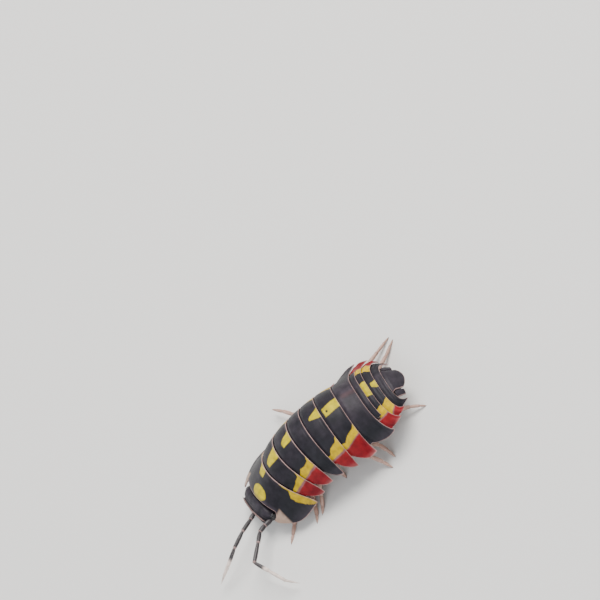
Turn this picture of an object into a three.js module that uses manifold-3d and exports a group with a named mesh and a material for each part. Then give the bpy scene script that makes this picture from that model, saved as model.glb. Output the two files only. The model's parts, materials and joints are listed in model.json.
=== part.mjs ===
// A life-size woodlouse of the pill-bug family: a dark arched back of overlapping plates whose sides flare into red and
// yellow lappets, a transverse head, two elbowed feelers with white ends and seven pairs of pale legs.
// Millimetres, +Z up. The head looks towards -Y and the animal's own left is +X. The floor is z = 0.
import * as THREE from "three";
import { mergeVertices } from "three/addons/utils/BufferGeometryUtils.js";
import Module from "manifold-3d";

const wasm = await Module();
wasm.setup();

// Body sizes. A station is the distance along the middle of the back from the brow.
const BACK_HEIGHT = 5.3; // top of the back over the floor at MID_STATION
const MID_STATION = 9;
const PITCH_DEG = [[0, 38], [4.5, 29.5], [9, 2.5], [13.5, -19], [16, -26], [18, -41], [20, -41]];
const YAW_DEG = [[0, -12], [4.5, -3], [9, 0], [14, -1.7], [18.5, 0]];
const HALF_ARC = [[0, 4.4], [1.4, 4.85], [4.1, 5.28], [6.1, 5.35], [8, 5.25], [9.5, 5.35], [11.2, 5.55], [13, 5.65], [14.7, 4.95],
  [15.85, 4.6], [16.6, 4], [17.4, 3.45], [18.05, 2.6], [18.7, 1.9], [19.5, 1.7]];
// Slope of the back's cross-section, in degrees, at shares of the way from the midline to the lappet's tip.
const SLOPE_DEG = [[0, 0], [0.35, 33], [0.6, 51], [0.8, 60], [1, 41]];
const FLATNESS = [[0, 0.53], [4.1, 1], [13.5, 0.97], [15.5, 0.65], [17.5, 0.36]]; // how much of that slope the ends keep

const SHELL_LIP = 0.2; // thickness of a plate's free rear margin
const GAP = 0.1; // clearance between neighbouring solids
const STEP_DOWN = SHELL_LIP + GAP;
const RAMP = 0.4; // run over which a plate climbs out from under the one before it
const LAPPET_THICKNESS = 0.38;
const BELLY_SHARE = 0.7; // share of the half arc at which the lappet leaves the trunk
const BELLY_BULGE = 0.3;

const COLOURS = { slate: 0x2a2a30, yellow: 0xe6cc1e, red: 0xb0262c, pale: 0xc9a9a4, eye: 0x0b0b0d, white: 0xe9dcd8 };

function material(colour, roughness = 0.55) {
  return new THREE.MeshStandardMaterial({ color: colour, roughness, metalness: 0 });
}

function interpolate(table, at) {
  if (at <= table[0][0]) return table[0][1];
  for (let i = 1; i < table.length; i++) {
    const [x0, y0] = table[i - 1];
    const [x1, y1] = table[i];
    if (at <= x1) return y0 + ((y1 - y0) * (at - x0)) / (x1 - x0);
  }
  return table[table.length - 1][1];
}

function smoothstep(low, high, x) {
  const k = Math.min(1, Math.max(0, (x - low) / (high - low)));
  return k * k * (3 - 2 * k);
}

// The line of the back, walked in short steps.
const WALK = 0.05;
const LAST_STATION = 19.6;

function direction(station) {
  const pitch = THREE.MathUtils.degToRad(interpolate(PITCH_DEG, station));
  const yaw = THREE.MathUtils.degToRad(interpolate(YAW_DEG, station));
  const along = new THREE.Vector3(Math.sin(yaw) * Math.cos(pitch), Math.cos(yaw) * Math.cos(pitch), Math.sin(pitch));
  const left = new THREE.Vector3(Math.cos(yaw), -Math.sin(yaw), 0);
  return { along, left, up: left.clone().cross(along) };
}

function walkBack() {
  const points = [new THREE.Vector3()];
  for (let i = 1; i * WALK <= LAST_STATION + WALK; i++)
    points.push(points[i - 1].clone().addScaledVector(direction((i - 0.5) * WALK).along, WALK));
  const middle = points[Math.round(MID_STATION / WALK)].clone();
  const start = new THREE.Vector3(middle.x, MID_STATION, middle.z - BACK_HEIGHT);
  return points.map((p) => p.sub(start));
}
const BACK_LINE = walkBack();

function backPoint(station) {
  const at = Math.min(Math.max(station / WALK, 0), BACK_LINE.length - 1.001);
  const i = Math.floor(at);
  return BACK_LINE[i].clone().lerp(BACK_LINE[i + 1], at - i);
}

// A point of the body's outer surface, or at a depth under it: share runs from -1 to 1 across the arch.
const ARC_STEPS = 40;
function surface(station, share, depth = 0) {
  const { along, left, up } = direction(station);
  const flat = interpolate(FLATNESS, station);
  const size = Math.abs(share);
  const step = (size * interpolate(HALF_ARC, station)) / ARC_STEPS;
  let out = 0;
  let down = 0;
  let slope = 0;
  for (let i = 0; i < ARC_STEPS; i++) {
    slope = THREE.MathUtils.degToRad(interpolate(SLOPE_DEG, ((i + 0.5) / ARC_STEPS) * size) * flat);
    out += Math.cos(slope) * step;
    down += Math.sin(slope) * step;
  }
  out -= Math.sin(slope) * depth;
  down += Math.cos(slope) * depth;
  return backPoint(station).addScaledVector(left, Math.sign(share) * out).addScaledVector(up, -down);
}

// Shares of the half arc where the solids have their corners, closer together on the lappets.
const COLUMNS = [0, 0.13, 0.26, 0.39, 0.51, 0.62, BELLY_SHARE, 0.8, 0.9, 1];
const ACROSS = [...COLUMNS.slice(1).reverse().map((c) => -c), ...COLUMNS];

// The underside: a bulging belly between the lappets' roots, and an even thickness under the lappets.
function underside(station, share, thickness) {
  if (Math.abs(share) >= BELLY_SHARE) return surface(station, share, thickness);
  const root = surface(station, BELLY_SHARE, thickness);
  const other = surface(station, -BELLY_SHARE, thickness);
  const k = (share / BELLY_SHARE + 1) / 2;
  const { up } = direction(station);
  return other.lerp(root, k).addScaledVector(up, -BELLY_BULGE * (1 - (2 * k - 1) ** 2));
}

// A closed skin over rings of outer and inner points, one pair for each column across.
function sheetSolid(rings) {
  const positions = [];
  const index = [];
  const columns = rings[0].length;
  for (const ring of rings) for (const [outer, inner] of ring) positions.push(...outer.toArray(), ...inner.toArray());
  const at = (r, c, side) => 2 * (r * columns + c) + side;
  const quad = (a, b, c, d) => index.push(a, b, c, a, c, d);
  for (let r = 0; r + 1 < rings.length; r++) {
    for (let c = 0; c + 1 < columns; c++) {
      quad(at(r, c, 0), at(r, c + 1, 0), at(r + 1, c + 1, 0), at(r + 1, c, 0));
      quad(at(r, c, 1), at(r + 1, c, 1), at(r + 1, c + 1, 1), at(r, c + 1, 1));
    }
    quad(at(r, 0, 0), at(r + 1, 0, 0), at(r + 1, 0, 1), at(r, 0, 1));
    quad(at(r, columns - 1, 0), at(r, columns - 1, 1), at(r + 1, columns - 1, 1), at(r + 1, columns - 1, 0));
  }
  const last = rings.length - 1;
  for (let c = 0; c + 1 < columns; c++) {
    quad(at(0, c, 0), at(0, c, 1), at(0, c + 1, 1), at(0, c + 1, 0));
    quad(at(last, c, 0), at(last, c + 1, 0), at(last, c + 1, 1), at(last, c, 1));
  }
  const geometry = new THREE.BufferGeometry();
  geometry.setAttribute("position", new THREE.Float32BufferAttribute(positions, 3));
  geometry.setIndex(index);
  return geometry;
}

// The plates of the back from front to rear. rear is the station of the free margin at the midline and sweep is how far
// the tips lag behind it. rounding is the share of the half arc that the lappet's front corner loses and corner how fast
// that fades towards the rear. reach is the share that the plate spans in all, and tuck how far it goes under the one
// before it.
const PLATES = [
  { name: "pereonite_1", rear: 4.23, sweep: 0.1, rounding: 0.36, corner: 5, reach: 1, tuck: 0, colour: COLOURS.slate },
  { name: "pereonite_2", rear: 6.17, sweep: 0.06, rounding: 0.2, corner: 2.4, reach: 1, tuck: 0.45, colour: COLOURS.red },
  { name: "pereonite_3", rear: 8.04, sweep: 0.1, rounding: 0.2, corner: 2.4, reach: 1, tuck: 0.45, colour: COLOURS.red },
  { name: "pereonite_4", rear: 9.53, sweep: 0.23, rounding: 0.2, corner: 2.4, reach: 1, tuck: 0.45, colour: COLOURS.slate },
  { name: "pereonite_5", rear: 11.19, sweep: 0.34, rounding: 0.18, corner: 2.4, reach: 1, tuck: 0.45, colour: COLOURS.red },
  { name: "pereonite_6", rear: 12.97, sweep: 0.96, rounding: 0.16, corner: 2.4, reach: 1, tuck: 0.45, colour: COLOURS.red },
  { name: "pereonite_7", rear: 14.64, sweep: 1.57, rounding: 0.14, corner: 2.4, reach: 1, tuck: 0.45, colour: COLOURS.slate },
  { name: "pleonites_1_and_2", rear: 15.2, sweep: 1.55, rounding: 0, corner: 1, reach: 0.6, tuck: 0.3, colour: COLOURS.slate },
  { name: "pleonite_3", rear: 15.75, sweep: 1.54, rounding: 0.06, corner: 2.4, reach: 1, tuck: 0.2, colour: COLOURS.red },
  { name: "pleonite_4", rear: 16.53, sweep: 1.47, rounding: 0.06, corner: 2.4, reach: 1, tuck: 0.2, colour: COLOURS.red },
  { name: "pleonite_5", rear: 17.27, sweep: 1.32, rounding: 0.06, corner: 2.4, reach: 1, tuck: 0.2, colour: COLOURS.slate },
];
const CORNER_FROM = 0.55; // share at which the rounding of the front corners begins
const BROW_NOTCH = { middle: 1.5, side: 0.6, from: 0.48, to: 0.61 }; // front margin of the first plate round the head
const TAIL_PLATE = { tuck: 0.25, front: 17.15, rear: 18.97, frontHalfWidth: 1.5, waist: 1.12, endHalfWidth: 1.05 };

function margin(plate, share) {
  return plate.rear + plate.sweep * Math.abs(share) ** 2.5;
}

// How deep a plate lies at a distance behind the margin that covers its front.
function stepUnder(run) {
  return STEP_DOWN * (1 - smoothstep(-0.05, RAMP, run));
}

// The line that a plate comes out from, seen from above.
function frontMargin(i, share) {
  const size = Math.abs(share);
  if (i === 0) return BROW_NOTCH.middle - (BROW_NOTCH.middle - BROW_NOTCH.side) * smoothstep(BROW_NOTCH.from, BROW_NOTCH.to, size);
  const before = PLATES[i - 1];
  if (before.reach === 1) return margin(before, share);
  const lapped = margin(PLATES[i - 2], share);
  return lapped + (margin(before, share) - lapped) * (1 - smoothstep(before.reach + 0.03, before.reach + 0.12, size));
}

// The share at which a column lies: the outer ones draw in towards the rounded front corner.
function roundedShare(plate, column, u) {
  const size = Math.abs(column);
  if (size <= CORNER_FROM) return column;
  const kept = 1 - (plate.rounding / (1 - CORNER_FROM)) * (1 - u) ** plate.corner;
  return Math.sign(column) * (CORNER_FROM + (size - CORNER_FROM) * kept);
}

const ROWS = [0, 0.2, 0.42, 0.7, 1]; // rows of a plate from its front margin to its rear margin

function plateSolid(i) {
  const plate = PLATES[i];
  const columns = ACROSS.map((c) => c * plate.reach);
  const ring = (stationOf, inner) =>
    columns.map((c) => {
      const front = frontMargin(i, c);
      const rear = margin(plate, c);
      const { station, u } = stationOf(front, rear);
      const share = roundedShare(plate, c, Math.max(u, 0));
      const depth = i === 0 ? 0 : stepUnder(station - front);
      const thick = inner === "lip" ? SHELL_LIP : depth + LAPPET_THICKNESS - (LAPPET_THICKNESS - SHELL_LIP) * smoothstep(0.85, 1, u);
      const under = inner === "lip" ? surface(station, share, thick) : underside(station, share, thick);
      return [surface(station, share, depth), under];
    });
  const rings = [];
  if (i > 0) rings.push(ring((front, rear) => ({ station: front - plate.tuck, u: -plate.tuck / (rear - front) }), "belly"));
  const lipStart = (PLATES[i + 1] ?? TAIL_PLATE).tuck + GAP;
  for (const u of ROWS.slice(0, -1))
    rings.push(ring((front, rear) => ({ station: front + (rear - lipStart - front) * (u / 0.7), u: (u / 0.7) * (1 - lipStart / (rear - front)) }), "belly"));
  rings.push(ring((front, rear) => ({ station: rear - lipStart + 0.01, u: 1 - lipStart / (rear - front) }), "lip"));
  rings.push(ring((front, rear) => ({ station: rear, u: 1 }), "lip"));
  return sheetSolid(rings);
}

const animal = new THREE.Group();
function place(name, geometry, finish) {
  const mesh = new THREE.Mesh(geometry, finish);
  mesh.name = name;
  animal.add(mesh);
  return mesh;
}

PLATES.forEach((plate, i) => place(plate.name, plateSolid(i), material(plate.colour)));

// The last plate, the telson: it narrows from its base to a waist and ends in a blunt round edge.
const LAST_PLEONITE = PLATES[PLATES.length - 1];
const TAIL_THICKNESS = 0.7;
const TAIL_EDGE = 0.35;
const TAIL_SUNK = 0.14;
const TAIL_ROWS = [-0.12, 0.15, 0.4, 0.65, 0.85, 1];
const TAIL_COLUMNS = [-1, -0.75, -0.5, -0.25, 0, 0.25, 0.5, 0.75, 1];

function tailHalfWidth(k) {
  if (k < 0.4) return TAIL_PLATE.frontHalfWidth + (TAIL_PLATE.waist - TAIL_PLATE.frontHalfWidth) * smoothstep(0, 0.4, k);
  return TAIL_PLATE.waist + (TAIL_PLATE.endHalfWidth - TAIL_PLATE.waist) * smoothstep(0.4, 1, k);
}

function telsonSolid() {
  const rings = TAIL_ROWS.map((k) => {
    const half = tailHalfWidth(k);
    return TAIL_COLUMNS.map((c) => {
      const roundEnd = 0.45 * smoothstep(0.6, 1, k) * c * c;
      const covered = margin(LAST_PLEONITE, (c * half) / interpolate(HALF_ARC, TAIL_PLATE.front)) - TAIL_PLATE.tuck;
      const station = Math.max(covered, TAIL_PLATE.front + (TAIL_PLATE.rear - TAIL_PLATE.front) * k - roundEnd);
      const share = (c * half) / interpolate(HALF_ARC, station);
      const depth = TAIL_SUNK + stepUnder(station - margin(LAST_PLEONITE, share));
      const thick = depth + TAIL_THICKNESS + (TAIL_EDGE - TAIL_THICKNESS) * Math.max(smoothstep(0.5, 1, k), c * c);
      return [surface(station, share, depth), surface(station, share, thick)];
    });
  });
  return sheetSolid(rings);
}
place("telson", telsonSolid(), material(COLOURS.slate));

// A closed solid and back again, for joining and cutting.
function toSolid(geometry) {
  const bare = geometry.index ? geometry.toNonIndexed() : geometry.clone();
  for (const name of Object.keys(bare.attributes)) if (name !== "position") bare.deleteAttribute(name);
  const merged = mergeVertices(bare, 1e-4);
  const mesh = new wasm.Mesh({
    numProp: 3,
    vertProperties: merged.attributes.position.array,
    triVerts: new Uint32Array(merged.index.array),
  });
  return new wasm.Manifold(mesh);
}

function toGeometry(solid) {
  const mesh = solid.getMesh();
  const geometry = new THREE.BufferGeometry();
  geometry.setAttribute("position", new THREE.BufferAttribute(new Float32Array(mesh.vertProperties), 3));
  geometry.setIndex(new THREE.BufferAttribute(new Uint32Array(mesh.triVerts), 1));
  return geometry;
}

function joined(geometries) {
  return geometries.map(toSolid).reduce((a, b) => a.add(b));
}

// Uropods: a flat outer plate on each side that fills the corner between the telson and the last pleonite.
const UROPOD = { base: 17.6, end: 18.6, outer: 1.85, thickness: 0.42, sunk: 0.12 };

function uropodSolid(side) {
  const rows = [0, 0.3, 0.65, 0.9, 1];
  const columns = [-1, -0.4, 0.4, 1];
  const rings = rows.map((k) =>
    columns.map((c) => {
      const end = UROPOD.end - 0.12 * c * c - 0.1 * (1 - side * c);
      const station = UROPOD.base + (end - UROPOD.base) * k;
      const inner = tailHalfWidth((station - TAIL_PLATE.front) / (TAIL_PLATE.rear - TAIL_PLATE.front)) + GAP + 0.06;
      const outer = Math.max(inner + 0.3, UROPOD.outer - 0.12 * k);
      const arc = side > 0 ? inner + ((outer - inner) * (c + 1)) / 2 : -(inner + ((outer - inner) * (1 - c)) / 2);
      const share = arc / interpolate(HALF_ARC, station);
      const depth = UROPOD.sunk + stepUnder(station - margin(LAST_PLEONITE, share));
      return [surface(station, share, depth), surface(station, share, depth + UROPOD.thickness)];
    }),
  );
  return sheetSolid(rings);
}
place("uropod_left", uropodSolid(1), material(COLOURS.slate));
place("uropod_right", uropodSolid(-1), material(COLOURS.slate));

// The head: a broad rounded block across the body, with a raised frontal edge and the mouthparts under it.
const HEAD = { station: 0.6, drop: 0.98, halfWidth: 2.02, halfLength: 0.66, halfHeight: 0.98, boxiness: 0.66 };
const FRONTAL_EDGE = { halfWidth: 1.85, halfLength: 0.2, halfHeight: 0.52, ahead: 0.62, drop: 0.62 };
const MOUTH = { halfWidth: 0.95, halfLength: 0.5, halfHeight: 0.5, drop: 1.55, ahead: 0.2 };
const EYE = { across: 1.92, drop: 0.82, behind: 0.12, halfLength: 0.34, halfHeight: 0.36, bulge: 0.24 };

function bodyFrame(station) {
  const { along, left, up } = direction(station);
  return new THREE.Matrix4().makeBasis(left, along, up).setPosition(backPoint(station));
}

// A ball pressed towards a box: power 1 is an ellipsoid and smaller powers are squarer.
function pebble(sizes, power, wide = 20, high = 12) {
  const geometry = new THREE.SphereGeometry(1, wide, high);
  const position = geometry.attributes.position;
  const square = (v) => Math.sign(v) * Math.abs(v) ** power;
  for (let i = 0; i < position.count; i++)
    position.setXYZ(i, square(position.getX(i)) * sizes[0], square(position.getY(i)) * sizes[1], square(position.getZ(i)) * sizes[2]);
  return geometry;
}

function onHead(geometry, across, back, drop) {
  return geometry.translate(across, back, -drop).applyMatrix4(bodyFrame(HEAD.station));
}

function headParts(grow) {
  const block = [HEAD.halfWidth, HEAD.halfLength, HEAD.halfHeight];
  const edge = [FRONTAL_EDGE.halfWidth, FRONTAL_EDGE.halfLength, FRONTAL_EDGE.halfHeight];
  const mouth = [MOUTH.halfWidth, MOUTH.halfLength, MOUTH.halfHeight];
  const larger = (sizes) => sizes.map((size) => size + grow);
  return joined([
    onHead(pebble(larger(block), HEAD.boxiness), 0, 0, HEAD.drop),
    onHead(pebble(larger(edge), HEAD.boxiness, 16, 8), 0, -FRONTAL_EDGE.ahead, FRONTAL_EDGE.drop),
    onHead(pebble(larger(mouth), 0.8, 14, 8), 0, -MOUTH.ahead, MOUTH.drop),
  ]);
}

function eye(side, grow) {
  const ball = pebble([EYE.bulge + grow, EYE.halfLength + grow, EYE.halfHeight + grow], 0.9, 12, 8);
  return onHead(ball, side * EYE.across, EYE.behind, EYE.drop);
}

const SIDES = [["left", 1], ["right", -1]];
const headSolid = SIDES.reduce((solid, [, side]) => solid.subtract(toSolid(eye(side, GAP))), headParts(0));
const headClearance = headParts(GAP);
place("head", toGeometry(headSolid), material(COLOURS.slate));
for (const [name, side] of SIDES) place("eye_" + name, eye(side, 0), material(COLOURS.eye, 0.25));

// One article of a limb: a turned rod from one joint to the next, slimmer at its root, with rounded ends.
const LIMB_SIDES = 6;
function article(from, to, rootRadius, endRadius) {
  const axis = new THREE.Vector3().subVectors(to, from);
  const length = axis.length();
  const profile = [
    [0, -0.6 * rootRadius],
    [0.72 * rootRadius, -0.3 * rootRadius],
    [rootRadius, 0.2 * length],
    [endRadius, 0.85 * length],
    [0.72 * endRadius, length + 0.3 * endRadius],
    [0, length + 0.6 * endRadius],
  ].map(([r, y]) => new THREE.Vector2(r, y));
  const rod = new THREE.LatheGeometry(profile, LIMB_SIDES);
  const turn = new THREE.Quaternion().setFromUnitVectors(new THREE.Vector3(0, 1, 0), axis.normalize());
  return rod.applyQuaternion(turn).translate(...from.toArray());
}

function limb(joints, radii) {
  const rods = [];
  for (let i = 0; i + 1 < joints.length; i++) rods.push(article(joints[i], joints[i + 1], radii[i], radii[i + 1]));
  return joined(rods);
}

// Second feelers, from the socket on the face to the tip, each bent at its elbow.
const ANTENNA_RADII = [0.27, 0.27, 0.26, 0.25, 0.25, 0.25, 0.22, 0.08];
const ANTENNAE = {
  antenna_left: [[2.3, -7.9, 1.2], [2.6, -8.6, 1.5], [3, -9.15, 1.75], [3.95, -9.65, 2], [5.5, -10.65, 2.25], [6.6, -10.1, 1.7],
    [8.1, -9.35, 1.15], [8.7, -8.7, 0.75]],
  antenna_right: [[0.5, -8.6, 1.15], [0.85, -9, 1.4], [1.25, -9.4, 1.6], [2.05, -10.35, 2.05], [3, -11.6, 2.2], [3.55, -13, 1.6],
    [3.75, -13.8, 1.2], [3.85, -14.4, 0.8]],
};
for (const [name, joints] of Object.entries(ANTENNAE)) {
  const points = joints.map((p) => new THREE.Vector3(...p));
  place(name, toGeometry(limb(points, ANTENNA_RADII).subtract(headClearance)), material(COLOURS.slate, 0.6));
}

// Walking legs: they come out under the belly, arch under the lappets and stand on small flats on the floor.
const LEG_SHARES = [0, 0.3, 0.43, 0.58, 0.8, 0.93, 1]; // joints along the way from the root to the foot
const LEG_RADII = [0.28, 0.27, 0.26, 0.25, 0.25, 0.2, 0.12];
const LEG_ROOT = { share: 0.42, clearance: 0.5 };
const LEG_BEND_AT = 0.65; // share of the way at which a leg bends sideways
const LEG_STATIONS = [2.7, 5.1, 7.1, 8.9, 10.5, 12.2, 13.8];
// For each leg its foot, how early it drops towards the floor (1 is a straight line) and its sideways bend.
const LEGS = {
  left: [
    { foot: [4.65, -7.75, 0.02], drop: 2.4, bend: [0, 0] },
    { foot: [4.65, -4.95, 0.02], drop: 2.2, bend: [0, 0] },
    { foot: [4.3, -4.2, 0.02], drop: 1.6, bend: [0, 0] },
    { foot: [2.9, -0.9, 0.02], drop: 1.5, bend: [0, 0] },
    { foot: [5.05, 2.9, 0.02], drop: 1, bend: [-0.05, 0.3] },
    { foot: [4.35, 3.55, 0.02], drop: 1, bend: [-0.25, 0.4] },
    { foot: [2.25, 7.95, 0.02], drop: 0.7, bend: [-0.55, 0] },
  ],
  right: [
    { foot: [-3, -6.9, 0.02], drop: 2.4, bend: [0, 0] },
    { foot: [-4.2, -5.4, 0.02], drop: 2.4, bend: [0, 0] },
    { foot: [-4.4, -3.6, 0.02], drop: 1.7, bend: [0, 0] },
    { foot: [-7.2, -3.35, 0.7], drop: 1.1, bend: [0.1, 0.6] }, // lifted for its next step
    { foot: [-4.4, 1.3, 0.02], drop: 1.5, bend: [0, 0] },
    { foot: [-5.85, 8.3, 0.02], drop: 0.9, bend: [0.15, 0] },
    { foot: [-5.35, 8.5, 0.02], drop: 1, bend: [0.9, 0] },
  ],
};

function legSolid(side, station, { foot, drop, bend }) {
  const { up } = direction(station);
  const root = underside(station, side * LEG_ROOT.share, LAPPET_THICKNESS).addScaledVector(up, -LEG_ROOT.clearance);
  const joints = LEG_SHARES.map((k) => {
    const aside = k < LEG_BEND_AT ? k / LEG_BEND_AT : (1 - k) / (1 - LEG_BEND_AT);
    const x = root.x + (foot[0] - root.x) * k + bend[0] * aside;
    const y = root.y + (foot[1] - root.y) * k + bend[1] * aside;
    return new THREE.Vector3(x, y, foot[2] + (root.z - foot[2]) * (1 - k) ** drop);
  });
  return limb(joints, LEG_RADII).trimByPlane([0, 0, 1], 0);
}
for (const [name, side] of SIDES)
  LEG_STATIONS.forEach((station, i) => place(`leg_${name}_${i + 1}`, toGeometry(legSolid(side, station, LEGS[name][i])), material(COLOURS.pale, 0.5)));

// The origin goes to the middle of the footprint, on the floor.
const bounds = new THREE.Box3().setFromObject(animal);
const centre = bounds.getCenter(new THREE.Vector3());
animal.position.set(-centre.x, -centre.y, -bounds.min.z);

export default animal;
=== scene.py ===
"""A life-size woodlouse of the pill-bug family, seen from its left and above.

Sizes are millimetres until a mesh is made. A station is the distance along the middle of the back from the
brow, and a share is the place across the arch: 0 on the midline, 1 at the left lappet's tip and -1 at the
right one's.
"""

import json
import math
import random
from collections import namedtuple

import bpy
import numpy as np
from mathutils import Matrix, Vector


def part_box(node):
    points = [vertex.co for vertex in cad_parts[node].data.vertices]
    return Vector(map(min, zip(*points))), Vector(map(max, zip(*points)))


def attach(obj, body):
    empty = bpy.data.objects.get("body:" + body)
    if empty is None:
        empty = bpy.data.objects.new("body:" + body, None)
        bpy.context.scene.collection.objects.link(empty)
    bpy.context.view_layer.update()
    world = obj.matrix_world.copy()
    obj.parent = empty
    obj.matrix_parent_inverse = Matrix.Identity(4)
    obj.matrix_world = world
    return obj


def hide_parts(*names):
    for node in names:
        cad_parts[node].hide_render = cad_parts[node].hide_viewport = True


MM = 0.001
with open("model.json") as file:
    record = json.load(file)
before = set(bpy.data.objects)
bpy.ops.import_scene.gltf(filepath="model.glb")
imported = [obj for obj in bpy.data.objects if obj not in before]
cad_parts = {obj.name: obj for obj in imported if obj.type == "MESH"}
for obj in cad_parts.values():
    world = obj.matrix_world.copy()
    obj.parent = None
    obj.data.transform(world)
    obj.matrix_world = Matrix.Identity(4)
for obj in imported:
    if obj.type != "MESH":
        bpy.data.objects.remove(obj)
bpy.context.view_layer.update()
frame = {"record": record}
SEED = 11

# Body sizes, as in the solids.
BACK_HEIGHT = 5.3
MID_STATION = 9.0
LAST_STATION = 19.6
PITCH_DEG = [(0, 38), (4.5, 29.5), (9, 2.5), (13.5, -19), (16, -26), (18, -41), (20, -41)]
YAW_DEG = [(0, -12), (4.5, -3), (9, 0), (14, -1.7), (18.5, 0)]
HALF_ARC = [
    (0, 4.4), (1.4, 4.85), (4.1, 5.28), (6.1, 5.35), (8, 5.25), (9.5, 5.35), (11.2, 5.55), (13, 5.65),
    (14.7, 4.95), (15.85, 4.6), (16.6, 4), (17.4, 3.45), (18.05, 2.6), (18.7, 1.9), (19.5, 1.7),
]
SLOPE_DEG = [(0, 0), (0.35, 33), (0.6, 51), (0.8, 60), (1, 41)]
FLATNESS = [(0, 0.53), (4.1, 1), (13.5, 0.97), (15.5, 0.65), (17.5, 0.36)]
STEP_DOWN = 0.12  # how far a plate's rear margin stands over the front of the next one
RAMP = 0.3  # length over which the next plate comes up again
ARC_STEPS = 40


def table(pairs, at):
    """Values between the table's corners."""
    return np.interp(at, [p[0] for p in pairs], [p[1] for p in pairs])


def eased(pairs, at, reach=0.35):
    """The same, with the corners rounded off so that the shell shows no creases."""
    at = np.asarray(at, float)
    return (table(pairs, at - reach) + 2 * table(pairs, at) + table(pairs, at + reach)) / 4


def smoothstep(low, high, x):
    k = np.clip((np.asarray(x, float) - low) / (high - low), 0, 1)
    return k * k * (3 - 2 * k)


def bump(x, centre, width):
    """A soft rise to 1 at the centre, nearly gone at twice the width from it."""
    return np.exp(-(((np.asarray(x, float) - centre) / width) ** 2))


def direction(station):
    """Unit vectors along the back, to the animal's left, and up out of the back, at each station."""
    station = np.asarray(station, float)
    pitch = np.radians(table(PITCH_DEG, station))
    yaw = np.radians(table(YAW_DEG, station))
    along = np.stack([np.sin(yaw) * np.cos(pitch), np.cos(yaw) * np.cos(pitch), np.sin(pitch)], -1)
    left = np.stack([np.cos(yaw), -np.sin(yaw), np.zeros_like(yaw)], -1)
    return along, left, np.cross(left, along)


WALK = 0.05  # length of a step along the back


def back_line():
    """The middle of the back, walked step by step, with its middle station at the back's height."""
    steps = np.arange(0, LAST_STATION + WALK, WALK)
    line = np.vstack([np.zeros(3), np.cumsum(direction(steps + WALK / 2)[0] * WALK, 0)])
    middle = line[round(MID_STATION / WALK)]
    return line - np.array([middle[0], MID_STATION, middle[2] - BACK_HEIGHT])


BACK_LINE = back_line()


def back_point(station):
    at = np.asarray(station, float) / WALK
    whole = np.arange(len(BACK_LINE))
    return np.stack([np.interp(at, whole, BACK_LINE[:, i]) for i in range(3)], -1)


def surface(station, share, depth=0.0):
    """Points of the body's outer surface, or at a depth under it."""
    station, share, depth = np.broadcast_arrays(
        np.asarray(station, float), np.asarray(share, float), np.asarray(depth, float))
    _, left, up = direction(station)
    size = np.abs(share)
    steps = (np.arange(ARC_STEPS) + 0.5) / ARC_STEPS
    slopes = np.radians(table(SLOPE_DEG, steps * size[..., None]) * eased(FLATNESS, station)[..., None])
    length = size * eased(HALF_ARC, station) / ARC_STEPS
    out = np.cos(slopes).sum(-1) * length - np.sin(slopes[..., -1]) * depth
    down = np.sin(slopes).sum(-1) * length + np.cos(slopes[..., -1]) * depth
    return back_point(station) + left * (np.sign(share) * out)[..., None] - up * down[..., None]


# The plates, front to rear. rear is the station of the rear margin and lag how far back the tips lie from
# it. loss is what the share loses at the front corner, and fade how soon that ends. reach is the share
# spanned, and tuck the length that lies under the plate before.
Plate = namedtuple("Plate", "name rear lag loss fade reach tuck")
PLATES = [
    Plate("pereonite_1", 4.23, 0.1, 0.36, 5, 1.0, 0.0),
    Plate("pereonite_2", 6.17, 0.06, 0.2, 2.4, 1.0, 0.45),
    Plate("pereonite_3", 8.04, 0.1, 0.2, 2.4, 1.0, 0.45),
    Plate("pereonite_4", 9.53, 0.23, 0.2, 2.4, 1.0, 0.45),
    Plate("pereonite_5", 11.19, 0.34, 0.18, 2.4, 1.0, 0.45),
    Plate("pereonite_6", 12.97, 0.96, 0.16, 2.4, 1.0, 0.45),
    Plate("pereonite_7", 14.64, 1.57, 0.14, 2.4, 1.0, 0.45),
    Plate("pleonites_1_and_2", 15.2, 1.55, 0.0, 1, 0.6, 0.3),
    Plate("pleonite_3", 15.75, 1.54, 0.06, 2.4, 1.0, 0.2),
    Plate("pleonite_4", 16.53, 1.47, 0.06, 2.4, 1.0, 0.2),
    Plate("pleonite_5", 17.27, 1.32, 0.06, 2.4, 1.0, 0.2),
]
LAG_POWER = 2.5  # how late the lag sets in towards the tips
BROW = {"middle": 1.5, "side": 0.6, "from": 0.48, "to": 0.61}
CORNER_FROM = 0.55  # share at which the rounding of the front corners begins
PAST_SHORT = (0.03, 0.12)  # shares past a short plate's end between which the next plate reaches forward


def rounded_share(i, share, u):
    """The share at which a column lies: the outer ones draw in towards the rounded front corner."""
    plate = PLATES[i]
    size = np.abs(share)
    kept = 1 - plate.loss / (1 - CORNER_FROM) * (1 - np.clip(u, 0, 1)) ** plate.fade
    drawn_in = np.sign(share) * (CORNER_FROM + (size - CORNER_FROM) * kept)
    return np.where(size <= CORNER_FROM, share, drawn_in)


def margin(i, share):
    """The station of a plate's rear margin."""
    return PLATES[i].rear + PLATES[i].lag * np.abs(share) ** LAG_POWER


def front_margin(i, share):
    """The station at which a plate comes out from under the one before, or its brow on the first plate."""
    size = np.abs(share)
    if i == 0:
        aside = smoothstep(BROW["from"], BROW["to"], size)
        return BROW["middle"] - (BROW["middle"] - BROW["side"]) * aside
    before = PLATES[i - 1]
    if before.reach == 1:
        return margin(i - 1, share)
    lapped = margin(i - 2, share)
    past = smoothstep(before.reach + PAST_SHORT[0], before.reach + PAST_SHORT[1], size)
    return lapped + (margin(i - 1, share) - lapped) * (1 - past)


def step_under(run):
    """How deep a plate lies at a run behind the margin before it."""
    return STEP_DOWN * (1 - smoothstep(-0.05, RAMP, run))


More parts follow.
